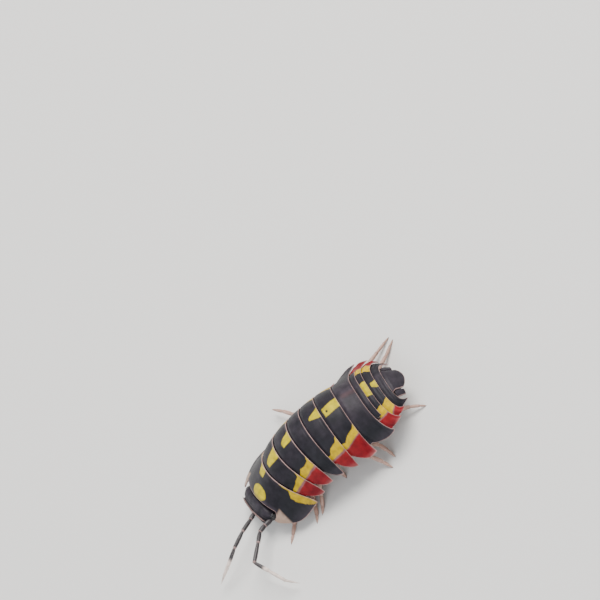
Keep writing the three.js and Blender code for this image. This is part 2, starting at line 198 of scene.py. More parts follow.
def frame_shift():
    """The shift into the frame, where the solids are centred on their footprint, from one plate's place."""
    low, high = (np.array(corner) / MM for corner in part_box("pereonite_4"))
    share = np.linspace(-1, 1, 41)
    fourth = [plate.name for plate in PLATES].index("pereonite_4")
    rear = surface(margin(fourth, share), share)
    middle = (rear[0] + rear[-1]) / 2
    return np.array([(low[0] + high[0]) / 2 - middle[0], high[1] - rear[:, 1].max(), 0.0])


SHIFT = frame_shift()

# Colours, linear.
SLATE = np.array([0.006, 0.007, 0.010])
DUSK = np.array([0.045, 0.035, 0.046])
YELLOW = np.array([0.50, 0.33, 0.0])
LEMON = np.array([0.47, 0.37, 0.0])
RED = np.array([0.22, 0.007, 0.010])
CRIMSON = np.array([0.15, 0.003, 0.008])
ROSE = np.array([0.42, 0.15, 0.14])
RIM = np.array([0.44, 0.29, 0.27])
BEIGE = np.array([0.36, 0.25, 0.19])
PALE = np.array([0.45, 0.27, 0.21])
WHITE = np.array([0.75, 0.62, 0.55])
EYE = np.array([0.004, 0.004, 0.005])
UNDERSIDE = np.array([0.26, 0.21, 0.20])


NOISE_PRIMES = (73856093, 19349663, 83492791)
NOISE_MIX = 1274126177


def lattice_noise(x, y, seed):
    """Smooth noise from -1 to 1 over a plane, one hump to a unit."""
    xi, yi = np.floor(x).astype(int), np.floor(y).astype(int)
    fx, fy = x - xi, y - yi
    fx, fy = fx * fx * (3 - 2 * fx), fy * fy * (3 - 2 * fy)

    def corner(i, j):
        h = (i * NOISE_PRIMES[0]) ^ (j * NOISE_PRIMES[1]) ^ (seed * NOISE_PRIMES[2])
        h = (h ^ (h >> 13)) * NOISE_MIX & 0x7FFFFFFF
        return (h % 4096) / 2048 - 1

    top = corner(xi, yi) * (1 - fx) + corner(xi + 1, yi) * fx
    low = corner(xi, yi + 1) * (1 - fx) + corner(xi + 1, yi + 1) * fx
    return top * (1 - fy) + low * fy


def mixed(base, over, amount):
    """One colour over another, by an amount from 0 to 1 at each point."""
    amount = np.clip(amount, 0, 1)[..., None]
    return base * (1 - amount) + over * amount


def set_inputs(node, values):
    for name, value in values.items():
        node.inputs[name].default_value = value


BLOTCH_SIZE = 0.45


def make_material(name, roughness, specular=0.5, coat=0.0, mottle=0.25, bump_size=0.07, bump_depth=0.012):
    """A shader that takes its colour from the mesh and adds fine mottling and grain."""
    mat = bpy.data.materials.new(name)
    mat.use_nodes = True
    nodes, links = mat.node_tree.nodes, mat.node_tree.links
    shader = nodes["Principled BSDF"]
    set_inputs(shader, {"Roughness": roughness, "Coat Weight": coat, "Specular IOR Level": specular})
    tint = nodes.new("ShaderNodeAttribute")
    tint.attribute_name = "tint"
    place = nodes.new("ShaderNodeTexCoord")
    blotch = nodes.new("ShaderNodeTexNoise")
    set_inputs(blotch, {"Scale": 1 / (BLOTCH_SIZE * MM), "Detail": 5})
    spread = nodes.new("ShaderNodeMapRange")
    set_inputs(spread, {"From Min": 0.3, "From Max": 0.7, "To Min": 1 - mottle, "To Max": 1 + mottle})
    shade = nodes.new("ShaderNodeVectorMath")
    shade.operation = "SCALE"
    grain = nodes.new("ShaderNodeTexNoise")
    set_inputs(grain, {"Scale": 1 / (bump_size * MM), "Detail": 3})
    relief = nodes.new("ShaderNodeBump")
    set_inputs(relief, {"Distance": bump_depth * MM, "Strength": 0.6})
    links.new(place.outputs["Object"], blotch.inputs["Vector"])
    links.new(place.outputs["Object"], grain.inputs["Vector"])
    links.new(blotch.outputs["Fac"], spread.inputs["Value"])
    links.new(tint.outputs["Color"], shade.inputs[0])
    links.new(spread.outputs["Result"], shade.inputs["Scale"])
    links.new(shade.outputs["Vector"], shader.inputs["Base Color"])
    links.new(grain.outputs["Fac"], relief.inputs["Height"])
    links.new(relief.outputs["Normal"], shader.inputs["Normal"])
    return mat


MATERIALS = {
    "cuticle": make_material("cuticle", 0.48, specular=0.16),
    "banded_cuticle": make_material("banded_cuticle", 0.48, specular=0.16),
    "pale_cuticle": make_material("pale_cuticle", 0.4, mottle=0.15, bump_size=0.04, bump_depth=0.006),
    "antenna_cuticle": make_material("antenna_cuticle", 0.42, mottle=0.2, bump_size=0.03, bump_depth=0.006),
    "eye": make_material("eye", 0.12, coat=0.5, mottle=0.05, bump_depth=0.0),
}


class Shape:
    """Points, faces and colours gathered from several closed forms, in millimetres."""

    def __init__(self):
        self.points, self.faces, self.tints, self.count = [], [], [], 0

    def add(self, points, faces, tints):
        points = np.asarray(points, float).reshape(-1, 3)
        tints = np.asarray(tints, float).reshape(-1, 3)
        if len(tints) == 1:
            tints = np.repeat(tints, len(points), 0)
        self.points.append(points)
        self.tints.append(tints)
        self.faces += [tuple(v + self.count for v in face) for face in faces]
        self.count += len(points)

    def build(self, name, slot, stands_for=()):
        points = (np.vstack(self.points) + SHIFT) * MM
        mesh = bpy.data.meshes.new(name)
        mesh.from_pydata([tuple(p) for p in points], [], self.faces)
        mesh.validate()
        tints = np.vstack(self.tints)
        colour = mesh.attributes.new("tint", "FLOAT_COLOR", "POINT")
        colour.data.foreach_set("color", np.hstack([tints, np.ones((len(tints), 1))]).ravel())
        mesh.shade_smooth()
        mesh.materials.append(MATERIALS[slot])
        piece = bpy.data.objects.new(name, mesh)
        bpy.context.scene.collection.objects.link(piece)
        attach(piece, "root")
        if stands_for:
            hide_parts(*stands_for)


def ring_faces(rings, sides):
    """Quads between closed rings that follow each other."""
    faces = []
    for r in range(rings - 1):
        for s in range(sides):
            a, b = r * sides + s, r * sides + (s + 1) % sides
            faces.append((a, b, b + sides, a + sides))
    return faces


def zipped(outline):
    """Triangles over a thin curved outline, from one long side to the other."""
    faces, low, high = [], 0, len(outline) - 1
    while high - low > 1:
        over_low = np.linalg.norm(outline[low + 1] - outline[high])
        over_high = np.linalg.norm(outline[low] - outline[high - 1])
        if over_low <= over_high:
            faces.append((low, low + 1, high))
            low += 1
        else:
            faces.append((low, high - 1, high))
            high -= 1
    return faces


def closed_rings(rings, flip=False, thin=False):
    """A closed skin over rings of points. Its ends are single faces, or strips if the outline is thin."""
    rings = np.asarray(rings, float)
    count, sides = rings.shape[:2]
    faces = ring_faces(count, sides)
    last = (count - 1) * sides
    if thin:
        faces += [face[::-1] for face in zipped(rings[0])]
        faces += [tuple(last + v for v in face) for face in zipped(rings[-1])]
    else:
        faces.append(tuple(range(sides))[::-1])
        faces.append(tuple(last + s for s in range(sides)))
    if flip:
        faces = [face[::-1] for face in faces]
    return rings.reshape(-1, 3), faces


# Plates of the back, each a skin lofted across the animal from closed outlines of its section.
SHELL = 0.1  # thickness of a plate's wall
LIP = 0.065  # and of its free margin
EDGE_RUN = 0.04  # length of the round edge at the free margin
SPREAD_POWER = 0.92  # under 1, it sets the columns closer towards the tips
TIP_ROUND = 0.03  # part of the half arch over which the wall thins out to the tip
NO_RIM = 9  # a distance at which no rim is drawn
COLUMNS = 241
ROWS_OUT = 38
ROWS_TUCKED = 5
ROWS_IN = 10
EDGE_TURN = 5

# Yellow bands of the lappets. For each plate: shares of the band's inner edge at places from the front
# margin (0) to the rear one (1), then the share where the band ends and the one where the red begins, each
# front and rear.
BANDS = {
    "pereonite_2": ([(0.1, 0.575), (0.5, 0.55), (0.9, 0.51), (1, 0.43)], (0.63, 0.63), (0.67, 0.665)),
    "pereonite_3": (
        [(0.1, 0.53), (0.3, 0.485), (0.6, 0.51), (0.87, 0.48), (1, 0.4)], (0.64, 0.61), (0.665, 0.65),
    ),
    "pereonite_5": ([(0.1, 0.65), (0.4, 0.56), (0.8, 0.51), (1, 0.43)], (0.735, 0.67), (0.77, 0.705)),
    "pereonite_6": ([(0.2, 0.6), (0.4, 0.54), (0.8, 0.48), (1, 0.41)], (0.7, 0.57), (0.715, 0.585)),
    "pleonite_3": ([(0, 0.48), (1, 0.44)], (0.64, 0.64), (0.67, 0.67)),
    "pleonite_4": ([(0, 0.49), (0.5, 0.44), (1, 0.4)], (0.76, 0.66), (0.8, 0.68)),
}
# Patches on the midline: where each begins along the plate, its shares there and at the rear margin.
PATCHES = {
    "pereonite_2": (0.28, (-0.05, 0.04), (-0.155, 0.09)),
    "pereonite_3": (0.46, (-0.04, 0.06), (-0.15, 0.055)),
    "pereonite_5": (0.37, (-0.015, 0.01), (-0.13, 0.07)),
    "pereonite_6": (0.15, (-0.03, 0.13), (-0.09, 0.08)),
    "pleonite_3": (0.05, (-0.13, 0.17), (-0.15, 0.2)),
    "pleonite_4": (0.3, (-0.03, 0.05), (-0.09, 0.11)),
}
# Marks of the first plate. The band is a list of its lengths from the rear margin at shares across.
FIRST_BAND = [
    (0.3, 0.0), (0.36, 0.06), (0.5, 0.14), (0.54, 0.33), (0.6, 0.7), (0.7, 0.84), (0.8, 0.8), (0.94, 0.55),
    (1, 0.25),
]
FIRST_OVAL = {"share": 0.05, "half_share": 0.17, "station": 2.12, "half_length": 0.66}
# The dark hole in the patch of the sixth plate.
HOLE = {"share": 0.045, "half_share": 0.022, "along": 0.32, "half_along": 0.055}
# How dusky the middle of a plate is.
DUSKINESS = {"pereonite_7": 0.75, "pleonite_5": 0.55, "pleonites_1_and_2": 0.5}
USUAL_DUSKINESS = 0.32
SHARE_WOBBLE = 0.006
ALONG_WOBBLE = 0.02


def within(low, high, x, soft=0.008):
    """1 between two values and 0 outside them, with soft edges."""
    return smoothstep(low - soft, low + soft, x) * (1 - smoothstep(high - soft, high + soft, x))


def oval(x, y, centre, half):
    """The distance from an oval's centre, 1 on the oval itself."""
    return (((x - centre[0]) / half[0]) ** 2 + ((y - centre[1]) / half[1]) ** 2) ** 0.5


def first_plate_marks(colour, share, along, station, wobble):
    """The oval patch and its tail, the yellow band, the beige front corners and the dusky brow."""
    size = np.abs(share)
    centre = FIRST_OVAL["share"], FIRST_OVAL["station"]
    half = FIRST_OVAL["half_share"], FIRST_OVAL["half_length"]
    patch = oval(share, station, centre, half)
    colour = mixed(colour, LEMON, 1 - smoothstep(0.94, 1.04, patch + 0.03 * wobble))
    way = np.clip(station - 3.2, 0, 1)
    tail = within(-0.1 - 0.1 * way, 0.0, share + SHARE_WOBBLE * wobble)
    colour = mixed(colour, LEMON, tail * smoothstep(0.7, 0.74, along))
    from_band = margin(0, share) - station - table(FIRST_BAND, size)
    colour = mixed(colour, YELLOW, 1 - smoothstep(-0.04, 0.04, from_band + 0.05 * wobble))
    outside = smoothstep(0.5, 0.56, size + SHARE_WOBBLE * wobble)
    ahead = 1 - smoothstep(-0.08, 0.12, station - 1.9 + 2.4 * (size - 0.54))
    colour = mixed(colour, BEIGE, 0.9 * outside * ahead)
    brow = smoothstep(1.15, 1.62, station) * (1 - smoothstep(1.62, 1.95, station))
    return mixed(colour, DUSK * 1.5, 0.5 * brow * (1 - smoothstep(0.42, 0.55, size)))


def lappet_marks(colour, name, size, along, cloud):
    """A yellow band, a dull line outside it and the red lappet."""
    inner, outer, red = BANDS[name]
    way = np.clip(along, 0, 1)
    inner_edge = table(inner, way)
    outer_edge = outer[0] + (outer[1] - outer[0]) * way
    red_edge = red[0] + (red[1] - red[0]) * way
    colour = mixed(colour, YELLOW, smoothstep(-0.008, 0.008, size - inner_edge))
    colour = mixed(colour, ROSE * 0.5 + DUSK * 0.5, smoothstep(-0.01, 0.008, size - outer_edge))
    lappet = mixed(RED, CRIMSON, smoothstep(0, 0.2, size - red_edge) * (0.8 + 0.5 * cloud))
    lappet = mixed(lappet, ROSE, 0.35 * smoothstep(0.9, 1.0, size))
    return mixed(colour, lappet, smoothstep(-0.01, 0.012, size - red_edge))


def midline_patch(colour, name, share, along):
    """A yellow patch that widens towards the rear margin."""
    start, front, rear = PATCHES[name]
    way = np.clip((along - start) / (1 - start), 0, 1) ** 0.8
    low = front[0] + (rear[0] - front[0]) * way
    high = front[1] + (rear[1] - front[1]) * way
    return mixed(colour, LEMON, within(low, high, share) * smoothstep(start - 0.03, start + 0.04, along))


def plate_colour(i, share, u, station):
    """The plate's colour at a share across and u along, from 0 at its front margin to 1 at its rear one."""
    name = PLATES[i].name
    arc = share * eased(HALF_ARC, station)
    wobble = lattice_noise(u * 5 + 31 * i, arc * 2.6, 5 + i) + 0.5 * lattice_noise(u * 17, arc * 8.3, 9 + i)
    size = np.abs(share) + SHARE_WOBBLE * wobble
    along = u + ALONG_WOBBLE * wobble
    cloud = lattice_noise(arc * 1.7 + 11 * i, station * 1.9, 3)
    dusky = DUSKINESS.get(name, USUAL_DUSKINESS)
    colour = mixed(SLATE, DUSK, dusky * smoothstep(0.8, 0.1, size) * (0.75 + 0.45 * cloud) + 0.06)
    if name == "pereonite_1":
        colour = first_plate_marks(colour, share, along, station, wobble)
    if name in BANDS:
        colour = lappet_marks(colour, name, size, along, cloud)
    if name in PATCHES:
        colour = midline_patch(colour, name, share + SHARE_WOBBLE * wobble, along)
    if name == "pereonite_6":
        centre = HOLE["share"], HOLE["along"]
        half = HOLE["half_share"], HOLE["half_along"]
        colour = mixed(colour, SLATE, 1 - smoothstep(0.8, 1.2, oval(share, along, centre, half)))
    if name == "pereonite_7":
        streak = within(-0.09, 0.0, share, 0.04) * smoothstep(0.1, 0.4, along)
        colour = mixed(colour, ROSE * 0.4, 0.16 * streak)
    if name not in BANDS:
        colour = mixed(colour, DUSK * 1.3, 0.35 * smoothstep(0.72, 1.0, size))
    return colour


RIM_WIDTH = 0.05


def rim_colour(colour, to_rear, to_tip, width=RIM_WIDTH):
    """Pale rims on the free margins; the distances to them are in millimetres."""
    at_rear = 1 - smoothstep(width * 0.5, width, to_rear)
    at_tip = 1 - smoothstep(width * 0.6, width * 1.3, to_tip)
    return mixed(colour, RIM, 0.8 * np.maximum(at_rear, at_tip))


def tergite(i):
    """One plate: its outer face to the free margin, a round edge there, and its inner face."""
    name, reach, tuck = PLATES[i].name, PLATES[i].reach, PLATES[i].tuck
    spread = np.linspace(-1, 1, COLUMNS)
    spaced = np.abs(spread) ** SPREAD_POWER
    share = np.sign(spread) * spaced * reach
    front, rear = front_margin(i, share), margin(i, share)
    length = rear - front
    tip = np.clip((1 - np.abs(spread)) / TIP_ROUND, 0, 1)
    fullness = np.sqrt(1 - (1 - tip) ** 2)
    flat = length - EDGE_RUN
    loop, tints = [], []

    def outer_depth(run):
        """The step under the plate before, a groove and a swelling along the rear, and a slight arch."""
        step = 0.0 if i == 0 else step_under(run)
        to_rear = length - run
        groove = 0.015 * bump(to_rear, 0.24, 0.07)
        swelling = 0.018 * bump(to_rear, 0.09, 0.07)
        arch = 0.02 * np.sin(np.pi * np.clip(run / length, 0, 1))
        return step + groove - swelling - arch

    def ring(run, extra=0.0):
        """Points at a run behind the front margin, one for each column, with their shares and stations."""
        pulled = rounded_share(i, share, run / length)
        return surface(front + run, pulled, outer_depth(run) + extra), pulled

    tucked = np.linspace(-tuck, 0, ROWS_TUCKED + 1)[:-1] if tuck else []
    for start in np.concatenate([tucked, np.linspace(0, 1, ROWS_OUT)]):
        run = np.full(COLUMNS, start) if start < 0 else start * flat
        points, pulled = ring(run)
        loop.append(points)
        station = front + run
        colour = plate_colour(i, pulled, np.clip(run / length, 0, 1), station)
        to_tip = (1 - spaced) * eased(HALF_ARC, station) * reach + (0 if reach == 1 else NO_RIM)
        if i == 0:
            to_tip = np.minimum(to_tip, np.maximum(run, 0))
        tints.append(rim_colour(colour, length - run, to_tip))
    for k in range(1, EDGE_TURN):
        turn = math.pi * k / EDGE_TURN
        run = flat + EDGE_RUN * math.sin(turn)
        loop.append(ring(run, LIP * (1 - math.cos(turn)) / 2 * fullness)[0])
        tints.append(np.repeat(RIM[None] * 0.9, COLUMNS, 0))
    first_run = -tuck if tuck else 0.0
    for way in np.linspace(0, 1, ROWS_IN):
        run = flat + (first_run - flat) * way
        thick = LIP + (SHELL - LIP) * smoothstep(0.0, 0.3, way)
        loop.append(ring(run, thick * fullness)[0])
        inner = np.repeat(UNDERSIDE[None] * 0.6, COLUMNS, 0)
        tints.append(mixed(inner, RIM, 0.25 * smoothstep(0.6, 1, np.abs(share))))
    shape = Shape()
    skin, faces = closed_rings(np.array(loop).transpose(1, 0, 2), flip=True, thin=True)
    shape.add(skin, faces, np.array(tints).transpose(1, 0, 2))
    slot = next(p["material_slot"] for p in frame["record"]["subparts"] if p["node"] == name)
    shape.build("tergite_" + name, slot, [name])


for index in range(len(PLATES)):
    tergite(index)

# The trunk under the plates: a soft pale belly with about one fold to a plate.
TRUNK = {"from": 1.6, "to": 17.5, "rings": 190, "share": 0.6204, "depth": 0.5, "fold": 1.82}
TRUNK_OVER = 25
TRUNK_UNDER = 19


def trunk():
    rings, tints = [], []
    for station in np.linspace(TRUNK["from"], TRUNK["to"], TRUNK["rings"]):
        fold = 0.5 + 0.5 * math.cos(2 * math.pi * (station - PLATES[0].rear) / TRUNK["fold"])
        narrow = 1 - 0.12 * smoothstep(15.5, TRUNK["to"], station)
        over = np.linspace(-1, 1, TRUNK_OVER)
        top = surface(station, over * TRUNK["share"] * narrow, TRUNK["depth"])
        k = np.linspace(1, 0, TRUNK_UNDER + 2)[1:-1]
        sag = (0.42 + 0.07 * fold) * (1 - (2 * k - 1) ** 2) ** 0.7
        under = top[0] + (top[-1] - top[0]) * k[:, None] - direction(station)[2] * sag[:, None]
        rings.append(np.vstack([top, under]))
        tints.append(np.repeat(UNDERSIDE[None] * (0.8 + 0.35 * fold), len(rings[-1]), 0))
    shape = Shape()
    skin, faces = closed_rings(rings)
    shape.add(skin, faces, np.array(tints))
    shape.build("trunk", "pale_cuticle")


trunk()


# Turned articles of the limbs.
NEARLY_UPRIGHT = 1e-4


def perpendicular(axis):
    """A level unit vector across an axis, and one across both."""
    side = np.cross(axis, [0, 0, 1.0])
    if np.linalg.norm(side) < NEARLY_UPRIGHT:
        side = np.array([1.0, 0, 0])
    side = side / np.linalg.norm(side)
    return side, np.cross(side, axis)


def circle_across(axis, sides):
    """Points of a unit circle across an axis."""
    side, top = perpendicular(axis)
    turn = np.linspace(0, 2 * math.pi, sides, endpoint=False)
    return np.cos(turn)[:, None] * side + np.sin(turn)[:, None] * top


def article(shape, start, end, profile, tint_at, sides=20):
    """A turned form. profile is (share of the length, radius); tint_at gives the colour at a share."""
    start, end = np.asarray(start, float), np.asarray(end, float)
    axis = end - start
    length = np.linalg.norm(axis)
    axis = axis / length
    circle = circle_across(axis, sides)
    rings = [start + axis * length * k + circle * radius for k, radius in profile]
    tints = [np.repeat(np.asarray(tint_at(k))[None], sides, 0) for k, _ in profile]
    skin, faces = closed_rings(rings)
    shape.add(skin, faces, np.array(tints))


SWELL = 0.08


def limb_profile(root, tip, rings=14):
    """Radii of an article: a narrow root, a swelling past the middle and a round rim at its end."""
    out = [(-0.03, 0.25 * root), (-0.02, 0.55 * root)]
    for k in np.linspace(0, 1, rings):
        base = root + (tip - root) * k
        neck = 1 - 0.3 * (1 - k) ** 4
        collar = 1 + 0.06 * math.exp(-(((k - 0.95) / 0.05) ** 2))
        out.append((k, base * neck * collar * (1 + SWELL * math.sin(math.pi * k))))
    out += [(1.02, 0.6 * tip), (1.03, 0.3 * tip)]
    return out


# A spine's rings: share of its length and share of its radius.
SPINE_PROFILE = [(0, 1), (0.6, 0.6), (1, 0.1)]


def spine(shape, root, axis, length, radius, tint, sides=4):
    """A bristle or claw that narrows to its tip."""
    axis = axis / np.linalg.norm(axis)
    circle = circle_across(axis, sides)
    rings = [root + axis * length * k + circle * radius * width for k, width in SPINE_PROFILE]
    skin, faces = closed_rings(rings)
    shape.add(skin, faces, [tint])


# The head, in a frame of its own: across to the left, back along the body, and up out of it.
HEAD_STATION = 0.6
HEAD_LEFT, HEAD_BACK, HEAD_UP = (direction(HEAD_STATION)[i] for i in (1, 0, 2))
HEAD_ORIGIN = back_point(HEAD_STATION)


def on_head(points, across, back, drop):
    """Points given about a place on the head, in the body's own space."""
    p = np.asarray(points, float) + [across, back, -drop]
    return HEAD_ORIGIN + p[..., :1] * HEAD_LEFT + p[..., 1:2] * HEAD_BACK + p[..., 2:] * HEAD_UP


POLE_ANGLE = 0.02  # a ball's first and last rings lie this far from its poles, in radians


def pebble(sizes, power=1.0, wide=64, high=36, relief=None):
    """A ball pressed towards a box. relief, if given, moves each point out by its value in millimetres."""
    rows = np.linspace(-math.pi / 2, math.pi / 2, high)
    rows[0] += POLE_ANGLE
    rows[-1] -= POLE_ANGLE
    turn = np.linspace(0, 2 * math.pi, wide, endpoint=False)
    ring = np.cos(rows)[:, None]
    upright = np.repeat(np.sin(rows)[:, None], wide, 1)
    ball = np.stack([ring * np.cos(turn), ring * np.sin(turn), upright], -1)
    points = np.sign(ball) * np.abs(ball) ** power * np.asarray(sizes)
    if relief is not None:
        points = points * (1 + relief(points)[..., None] / np.linalg.norm(points, axis=-1, keepdims=True))
    return closed_rings(points)


def head_tint(points):
    """Clouded slate, paler towards the mouth."""
    up = ((points - HEAD_ORIGIN) * HEAD_UP).sum(-1)
    back = ((points - HEAD_ORIGIN) * HEAD_BACK).sum(-1)
    across = ((points - HEAD_ORIGIN) * HEAD_LEFT).sum(-1)
    cloud = lattice_noise(across * 3.1, back * 3.7 + up * 2, 17)
    base = mixed(np.repeat(SLATE[None] * 1.15, len(points), 0), DUSK, 0.35 + 0.3 * cloud)
    lower = smoothstep(-0.95, -1.7, up)
    return mixed(base, PALE * 0.55, 0.7 * lower)


def tube(shape, path, radius, tint, sides=8):
    """A round rod along a path, thinner at its ends."""
    path = np.asarray(path, float)
    tangents = np.gradient(path, axis=0)
    rings = []
    for k, (p, t) in enumerate(zip(path, tangents)):
        r = radius * min(1, 0.2 + 6 * min(k, len(path) - 1 - k) / len(path))
        rings.append(p + circle_across(t / np.linalg.norm(t), sides) * r)
    skin, faces = closed_rings(rings)
    shape.add(skin, faces, [tint])


def capsule_relief(p):
    """A furrow behind the brow, a dent on each side of the crown, and fine grain."""
    furrow = -0.06 * bump(p[..., 1], -0.28, 0.09) * (p[..., 2] > 0)
    dent = -0.05 * bump(np.abs(p[..., 0]), 1.05, 0.35) * bump(p[..., 1], 0.15, 0.3) * (p[..., 2] > 0)
    grain = 0.012 * lattice_noise(p[..., 0] * 6, p[..., 1] * 6 + p[..., 2] * 5, 2)
    return furrow + dent + grain


# The frontal ridge: half its width, and its place and sweep along the head's front.
RIDGE = {"half": 1.8, "back": -0.6, "sweep": 0.16, "drop": 0.13, "radius": 0.07}
# First feelers: the place of the left one's root, the articles' radii and the way from joint to joint.
ANTENNULE_ROOT = (0.42, -0.78, 0.95)
ANTENNULE_RADII = (0.075, 0.065, 0.05)
ANTENNULE_STEP = {"back": -0.13, "aside": 0.05, "up": -0.03}


def frontal_ridge(shape):
    path = []
    for k in np.linspace(-1, 1, 61):
        lift = 0.04 - 0.1 * abs(k) ** 3 + 0.05 * bump(k, 0, 0.16)
        place = RIDGE["half"] * k, RIDGE["back"] + RIDGE["sweep"] * k * k, RIDGE["drop"] - lift
        path.append(on_head([[0, 0, 0]], *place)[0])
    tube(shape, path, RIDGE["radius"], RIM * 0.4)


def antennule(shape, side):
    """A first feeler, of three short articles."""
    across, back, drop = ANTENNULE_ROOT
    base = on_head([[0, 0, 0]], side * across, back, drop)[0]
    step = HEAD_BACK * ANTENNULE_STEP["back"] + HEAD_LEFT * side * ANTENNULE_STEP["aside"]
    step = step + HEAD_UP * ANTENNULE_STEP["up"]
    for radius in ANTENNULE_RADII:
        profile = limb_profile(radius, radius * 0.8, rings=6)
        article(shape, base, base + step, profile, lambda _: PALE * 0.5, sides=10)
        base = base + step


def head():
    """Pressed balls, each with its half sizes, power and place, the ridge and the first feelers."""
    shape = Shape()

    def add(sizes, power, across, back, drop, relief=None, tint=None, wide=64, high=36):
        points, faces = pebble(sizes, power, wide, high, relief)
        points = on_head(points, across, back, drop)
        shape.add(points, faces, head_tint(points) if tint is None else [tint])

    # The capsule, the face under the ridge and the shield on its middle.
    add([2.02, 0.66, 0.98], 0.62, 0, 0, 0.98, capsule_relief, wide=120, high=60)
    add([1.85, 0.2, 0.5], 0.6, 0, -0.6, 0.62, wide=96, high=40)
    add([0.62, 0.12, 0.34], 0.8, 0, -0.76, 0.5)
    for side in (1, -1):
        # A lobe high on the front, one lower down, and the cheek.
        add([0.5, 0.2, 0.2], 0.8, side * 1.12, -0.72, 0.5)
        add([0.36, 0.22, 0.34], 0.85, side * 1.0, -0.62, 1.12)
        add([0.3, 0.22, 0.4], 0.85, side * 1.5, -0.4, 1.2)
        # The mouthparts: a broad pair, a narrow pair beside it and the dark tips of the jaws.
        add([0.34, 0.12, 0.38], 0.8, side * 0.37, -0.5, 1.62, tint=PALE * 0.6)
        add([0.2, 0.1, 0.26], 0.9, side * 0.72, -0.55, 1.5, tint=PALE * 0.45)
        add([0.12, 0.1, 0.12], 1.0, side * 0.2, -0.68, 1.36, tint=SLATE * 0.8)
    # The upper lip and the throat.
    add([0.5, 0.14, 0.22], 0.8, 0, -0.66, 1.16)
    add([0.95, 0.5, 0.45], 0.8, 0, -0.2, 1.5)
    frontal_ridge(shape)
    for side in (1, -1):
        antennule(shape, side)
    shape.build("head", "cuticle", ["head"])


EYE_PLACE = (1.92, 0.12, 0.82)  # the left eye's place across, back and down on the head
EYE_HALF = np.array([0.2, 0.31, 0.33])
LENS_HALF = 0.058
LENS_ROWS = (4, 5, 6, 5, 4)  # lenses in each upright row, front to rear
FIRST_ROW_DEG = -52
ROW_DEG = 26
LENS_DEG = 25


def eye(side, name):
    """An oval patch of small round lenses in rows."""
    shape = Shape()

    def add(points, faces, tint):
        shape.add(on_head(points, side * EYE_PLACE[0], EYE_PLACE[1], EYE_PLACE[2]), faces, [tint])

    points, faces = pebble(EYE_HALF, 0.95, wide=32, high=20)
    add(points, faces, EYE)
    lens, lens_faces = pebble([LENS_HALF] * 3, wide=12, high=8)
    for row, count in enumerate(LENS_ROWS):
        azimuth = math.radians(FIRST_ROW_DEG + ROW_DEG * row)
        for k in range(count):
            height = math.radians((k - (count - 1) / 2) * LENS_DEG)
            level = math.cos(height)
            out = np.array([math.cos(azimuth) * level * side, math.sin(azimuth) * level, math.sin(height)])
            add(lens + out * EYE_HALF, lens_faces, EYE * 2)
    shape.build(name, "eye", [name])


head()
eye(1, "eye_left")
eye(-1, "eye_right")

# Second feelers: joints from the socket to the tip, as in the solids.
ANTENNA_RADII = [0.21, 0.21, 0.18, 0.17, 0.16, 0.15, 0.12, 0.03]
ANTENNAE = {
    "antenna_left": [
        (2.3, -7.9, 1.2), (2.6, -8.6, 1.5), (3, -9.15, 1.75), (3.95, -9.65, 2), (5.5, -10.65, 2.25),
        (6.6, -10.1, 1.7), (8.1, -9.35, 1.15), (8.7, -8.7, 0.75),
    ],
    "antenna_right": [
        (0.5, -8.6, 1.15), (0.85, -9, 1.4), (1.25, -9.4, 1.6), (2.05, -10.35, 2.05), (3, -11.6, 2.2),
        (3.55, -13, 1.6), (3.75, -13.8, 1.2), (3.85, -14.4, 0.8),
    ],
}
ANTENNA_DARK = np.array([0.030, 0.025, 0.028])
TURNS_WHITE = 4  # index of the article along which the feeler turns white
HAIRS_PER_MM = 34
HAIR_RADIUS = 0.009
TUFT = {"hairs": 9, "lean": 0.15, "length": 0.22, "radius": 0.012}


def antenna_tint(order, k):
    """Dark articles with pale rings at their ends; the fifth turns white along its length."""
    ring = 0.8 * min(1, math.exp(-(((k - 1.0) / 0.03) ** 2)) + 0.5 * math.exp(-((k / 0.02) ** 2)))
    dark = ANTENNA_DARK * (1 - ring) + RIM * ring
    if order < TURNS_WHITE:
        return dark
    if order == TURNS_WHITE:
        amount = float(smoothstep(0.55, 0.8, k))
        return dark * (1 - amount) + WHITE * amount
    return WHITE * (1 - 0.25 * ring) + ANTENNA_DARK * 0.25 * ring


def antenna(name, joints):
    """A second feeler: turned articles with fine hairs, and a tuft at the tip."""
    shape = Shape()
    joints = np.array(joints, float)
    hair = random.Random(SEED + len(name))
    for order in range(len(joints) - 1):
        a, b = joints[order], joints[order + 1]
        root, tip = ANTENNA_RADII[order], ANTENNA_RADII[order + 1]
        profile = limb_profile(root, tip)
        article(shape, a, b, profile, lambda k, order=order: antenna_tint(order, k), sides=24)
        length = np.linalg.norm(b - a)
        axis = (b - a) / length
        side, top = perpendicular(axis)
        for _ in range(int(HAIRS_PER_MM * length)):
            k, turn = hair.random(), hair.random() * 2 * math.pi
            out = side * math.cos(turn) + top * math.sin(turn)
            radius = root + (tip - root) * k
            reach = 0.07 + 0.04 * hair.random()
            place = a + (b - a) * k + out * radius * 0.93
            spine(shape, place, out * 0.4 + axis, reach, HAIR_RADIUS, WHITE * 0.6, 3)
    for _ in range(TUFT["hairs"]):
        lean = np.array([hair.uniform(-TUFT["lean"], TUFT["lean"]) for _ in range(3)])
        spine(shape, joints[-1], axis + lean, TUFT["length"], TUFT["radius"], WHITE, 3)
    shape.build(name, "antenna_cuticle", [name])


for feeler_name, feeler_joints in ANTENNAE.items():
    antenna(feeler_name, feeler_joints)

